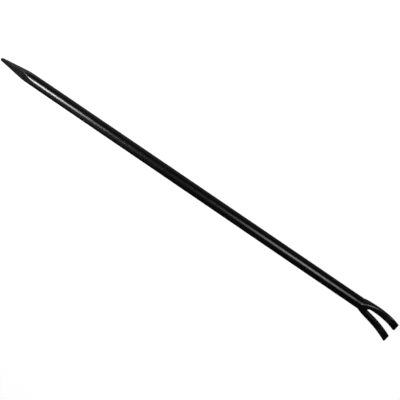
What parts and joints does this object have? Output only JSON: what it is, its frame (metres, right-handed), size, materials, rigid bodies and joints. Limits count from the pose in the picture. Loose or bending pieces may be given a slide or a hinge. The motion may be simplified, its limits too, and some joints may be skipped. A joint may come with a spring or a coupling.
{
  "type": "pry bar",
  "caption": "Long round black steel pry bar, with a four-sided point at one end and a curved, slotted claw at the other.",
  "frame": {"origin": "under the middle of the bar's length, level with the bar's underside", "axes": "+X along the bar from the point to the claw, +Y to the left, +Z the way the claw's tips curl"},
  "size_m": [1, 0.0484, 0.0479],
  "materials": {
    "black_steel": "satin"
  },
  "bodies": {
    "root": {"point": "black_steel", "shank": "black_steel", "neck": "black_steel", "left_prong": "black_steel", "right_prong": "black_steel"}
  },
  "joints": []
}
